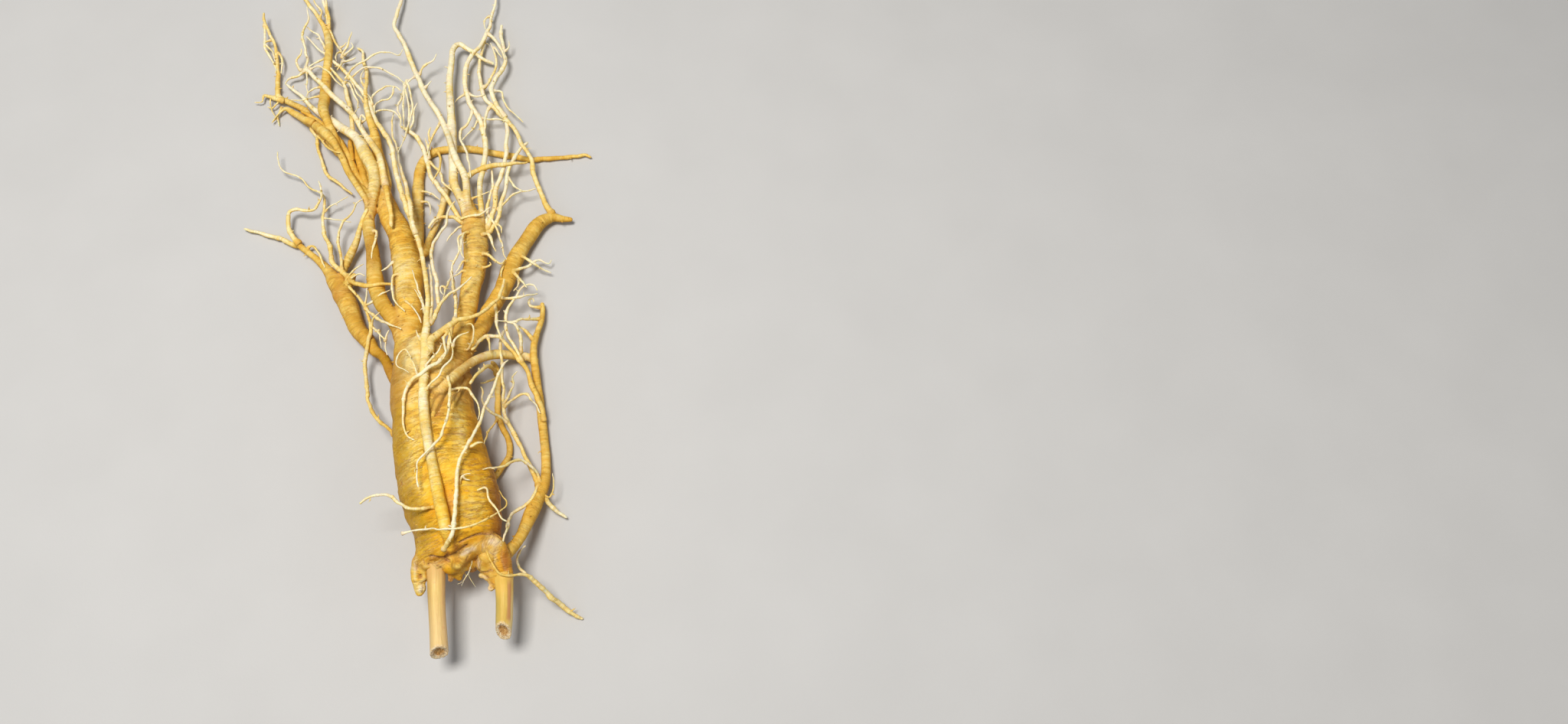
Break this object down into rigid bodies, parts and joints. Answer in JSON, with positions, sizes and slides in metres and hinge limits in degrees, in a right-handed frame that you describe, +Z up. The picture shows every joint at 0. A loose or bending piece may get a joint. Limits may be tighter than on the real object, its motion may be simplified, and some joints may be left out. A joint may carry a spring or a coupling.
{
  "type": "ginseng root",
  "caption": "Fresh whole ginseng root lying flat: plump taproot, knobbed crown with cut stem stubs, forked legs and a fan of trailing rootlets.",
  "frame": {"origin": "centre of the bounding box, on the surface that the root lies on", "axes": "+Z up from the surface, +Y along the root from the cut stems to the tips of the rootlets, +X to the right when the root is seen from above with its stems towards the viewer"},
  "size_m": [0.1809, 0.3755, 0.0485],
  "materials": {
    "root_skin": "moist satin root skin, golden yellow with fine brown rings and specks, paler cream on the thin rootlets",
    "left_stem": "satin fibrous stem, straw to peach, streaked lengthwise, ragged pale cut end",
    "right_stem": "satin fibrous stem, straw yellow with a reddish brown stripe, pale cut end"
  },
  "bodies": {
    "root": {"root": "root_skin", "left_stem_stub": "left_stem", "right_stem_stub": "right_stem"}
  },
  "joints": []
}
